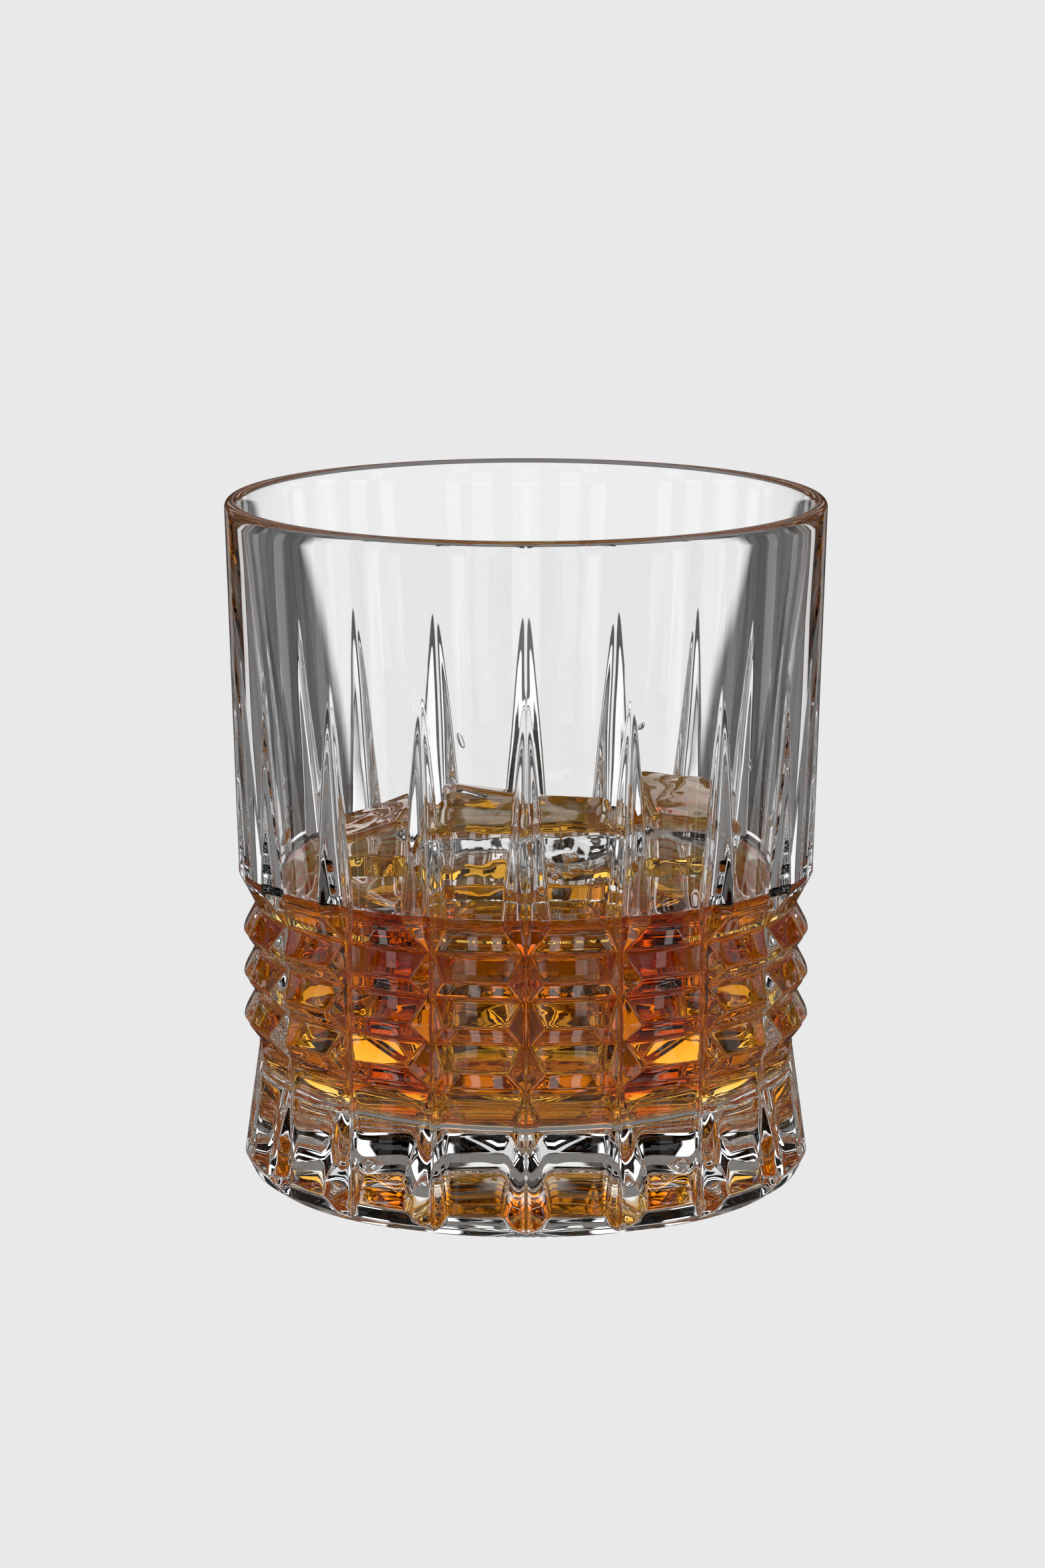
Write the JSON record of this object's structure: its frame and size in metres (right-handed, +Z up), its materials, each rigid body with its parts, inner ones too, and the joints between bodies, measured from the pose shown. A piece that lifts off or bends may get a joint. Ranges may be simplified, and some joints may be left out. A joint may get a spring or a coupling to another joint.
{
  "type": "whiskey tumbler",
  "caption": "Heavy pressed-glass whiskey tumbler with a cut stud band and needle grooves, holding whiskey and loose ice.",
  "frame": {"origin": "centre of the foot, on the plane the tumbler stands on", "axes": "+Z up along the tumbler's axis; -Y towards the viewer, through a vertical groove; +X to the viewer's right"},
  "size_m": [0.087, 0.087, 0.1],
  "materials": {
    "clear_glass": "clear, fire-polished pressed glass, colourless",
    "whiskey": "clear golden to deep amber liquid with a smooth surface",
    "ice": "wet clear ice with rounded edges, a few bubbles and faint clouding"
  },
  "bodies": {
    "glass": {"tumbler": "clear_glass", "whiskey": "whiskey"},
    "ice_lower_front": {"ice_lower_front": "ice"},
    "ice_lower_left": {"ice_lower_left": "ice"},
    "ice_lower_right": {"ice_lower_right": "ice"},
    "ice_lower_back": {"ice_lower_back": "ice"},
    "ice_front": {"ice_front": "ice"},
    "ice_left": {"ice_left": "ice"},
    "ice_right": {"ice_right": "ice"},
    "ice_back": {"ice_back": "ice"}
  },
  "joints": [
    {"name": "lift_lower_front", "type": "slide", "parent": "glass", "child": "ice_lower_front", "axis": [0, 0, 1], "range_m": [0, 0.09]},
    {"name": "lift_lower_left", "type": "slide", "parent": "glass", "child": "ice_lower_left", "axis": [0, 0, 1], "range_m": [0, 0.09]},
    {"name": "lift_lower_right", "type": "slide", "parent": "glass", "child": "ice_lower_right", "axis": [0, 0, 1], "range_m": [0, 0.09]},
    {"name": "lift_lower_back", "type": "slide", "parent": "glass", "child": "ice_lower_back", "axis": [0, 0, 1], "range_m": [0, 0.09]},
    {"name": "lift_front", "type": "slide", "parent": "ice_lower_front", "child": "ice_front", "axis": [0, 0, 1], "range_m": [0, 0.08]},
    {"name": "lift_left", "type": "slide", "parent": "ice_lower_left", "child": "ice_left", "axis": [0, 0, 1], "range_m": [0, 0.08]},
    {"name": "lift_right", "type": "slide", "parent": "ice_lower_right", "child": "ice_right", "axis": [0, 0, 1], "range_m": [0, 0.08]},
    {"name": "lift_back", "type": "slide", "parent": "ice_lower_back", "child": "ice_back", "axis": [0, 0, 1], "range_m": [0, 0.08]}
  ]
}
